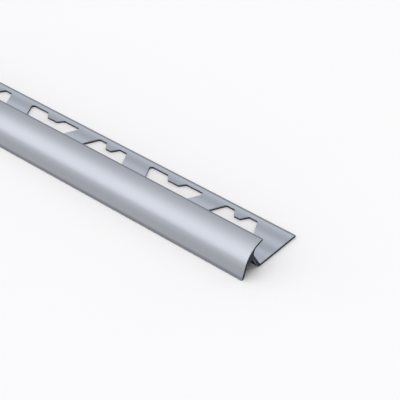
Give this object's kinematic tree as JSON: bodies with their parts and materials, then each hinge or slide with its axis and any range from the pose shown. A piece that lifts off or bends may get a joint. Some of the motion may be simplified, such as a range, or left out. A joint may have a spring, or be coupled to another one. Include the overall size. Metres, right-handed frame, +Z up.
{
  "type": "tile edge trim",
  "caption": "Round-edge tile trim extruded in satin anodised aluminium: a quadrant face with a lip, a slanted web and a flat leg punched with trapezoid anchoring holes.",
  "frame": {"origin": "bottom centre of the trim: middle of its length and width, on the plane that the leg's underside and the face's foot lie on", "axes": "+X along the length, +Y from the round face towards the outer edge of the leg, +Z up from the leg to the lip"},
  "size_m": [1, 0.0288, 0.011],
  "materials": {
    "anodised_aluminium": "satin anodised silver"
  },
  "bodies": {
    "root": {"edge_trim": "anodised_aluminium"}
  },
  "joints": []
}
